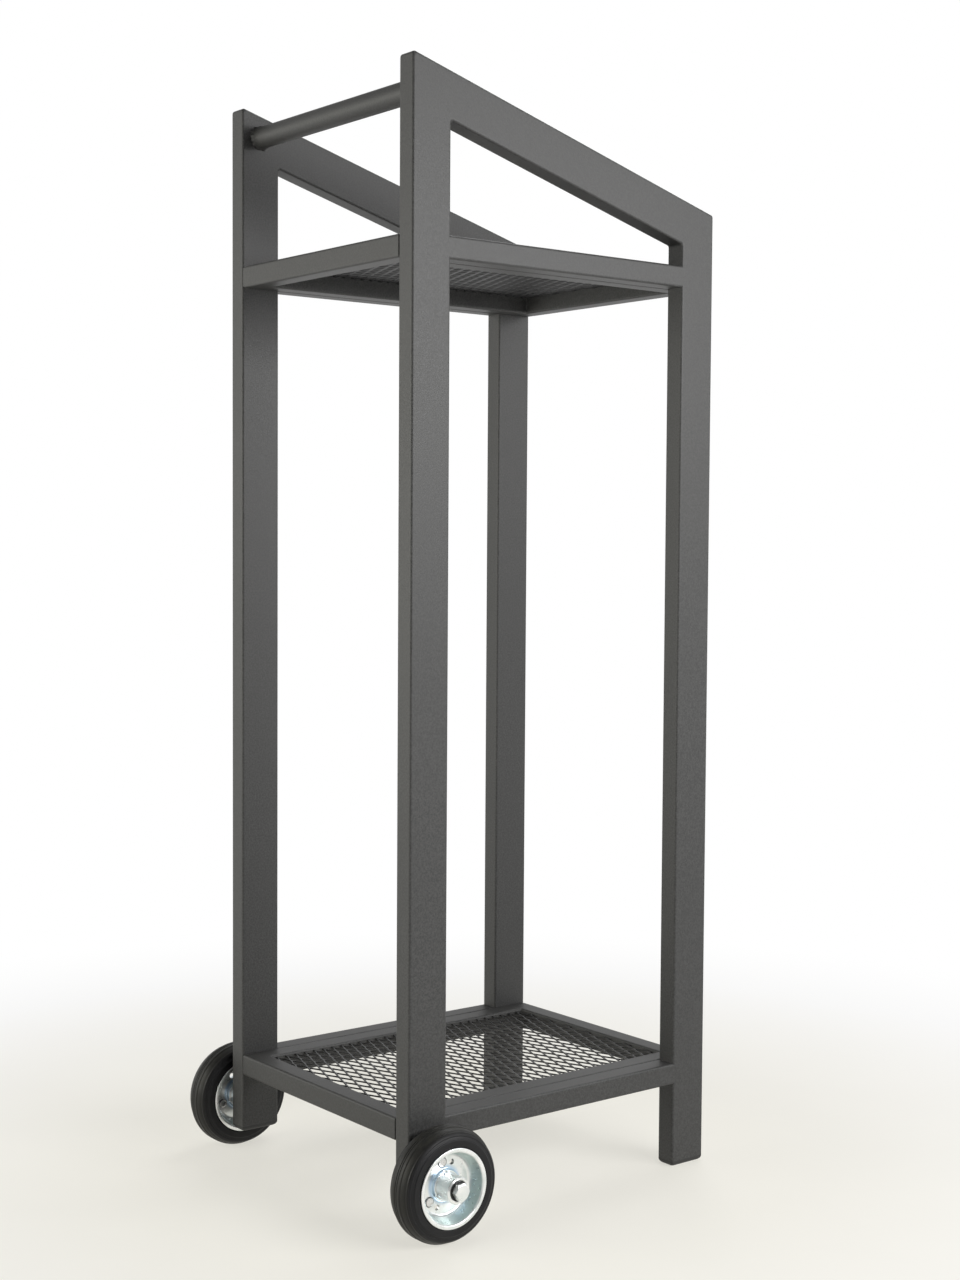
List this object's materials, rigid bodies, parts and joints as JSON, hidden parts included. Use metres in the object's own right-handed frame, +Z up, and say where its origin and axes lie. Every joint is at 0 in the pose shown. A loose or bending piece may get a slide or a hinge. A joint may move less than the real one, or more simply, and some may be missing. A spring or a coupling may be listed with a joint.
{
  "type": "fireside log cart",
  "caption": "Tall fireside log cart with sloping tube side frames, expanded-metal shelves for logs and kindling, a round push handle and rubber-tyred wheels at the rear.",
  "frame": {"origin": "on the floor, in the middle of the bounding box's length and width", "axes": "+Z up; +X to the cart's right-hand wheel; -Y to the wheels and the handle, +Y to the fixed feet"},
  "size_m": [0.3926, 0.38, 1],
  "materials": {
    "powder_coat": "fine-textured matt powder coat",
    "mesh_coat": "satin powder coat on expanded metal",
    "end_plug": "moulded, matt",
    "tyre_rubber": "moulded solid rubber, satin",
    "zinc_plate": "bright zinc plate",
    "rivet_steel": "zinc plated, domed",
    "bush_steel": "turned steel",
    "bearing_plastic": "moulded, greased"
  },
  "bodies": {
    "cart_frame": {"right_rear_post": "powder_coat", "right_front_post": "powder_coat", "right_top_bar": "powder_coat", "right_upper_rail": "powder_coat", "right_lower_rail": "powder_coat", "right_rear_plug": "end_plug", "right_front_plug": "end_plug", "left_rear_post": "powder_coat", "left_front_post": "powder_coat", "left_top_bar": "powder_coat", "left_upper_rail": "powder_coat", "left_lower_rail": "powder_coat", "left_rear_plug": "end_plug", "left_front_plug": "end_plug", "upper_shelf_rear_tube": "powder_coat", "upper_shelf_front_tube": "powder_coat", "upper_shelf_right_tube": "powder_coat", "upper_shelf_left_tube": "powder_coat", "upper_shelf_mesh": "mesh_coat", "lower_shelf_rear_tube": "powder_coat", "lower_shelf_front_tube": "powder_coat", "lower_shelf_right_tube": "powder_coat", "lower_shelf_left_tube": "powder_coat", "lower_shelf_mesh": "mesh_coat", "handle": "powder_coat", "right_bush": "bush_steel", "right_wheel_bolt": "zinc_plate", "right_axle_boss": "bush_steel", "left_bush": "bush_steel", "left_wheel_bolt": "zinc_plate", "left_axle_boss": "bush_steel"},
    "right_wheel": {"right_tyre": "tyre_rubber", "right_rim_outer_half": "zinc_plate", "right_rim_inner_half": "zinc_plate", "right_rim_rivet_1": "rivet_steel", "right_rim_rivet_2": "rivet_steel", "right_rim_rivet_3": "rivet_steel", "right_hub": "zinc_plate", "right_roller_cage": "bearing_plastic"},
    "left_wheel": {"left_tyre": "tyre_rubber", "left_rim_outer_half": "zinc_plate", "left_rim_inner_half": "zinc_plate", "left_rim_rivet_1": "rivet_steel", "left_rim_rivet_2": "rivet_steel", "left_rim_rivet_3": "rivet_steel", "left_hub": "zinc_plate", "left_roller_cage": "bearing_plastic"}
  },
  "joints": [
    {"name": "right_wheel_spin", "type": "hinge", "parent": "cart_frame", "child": "right_wheel", "pos_m": [0.1685, -0.14, 0.05], "axis": [1, 0, 0], "continuous": true},
    {"name": "left_wheel_spin", "type": "hinge", "parent": "cart_frame", "child": "left_wheel", "pos_m": [-0.1685, -0.14, 0.05], "axis": [1, 0, 0], "continuous": true}
  ]
}
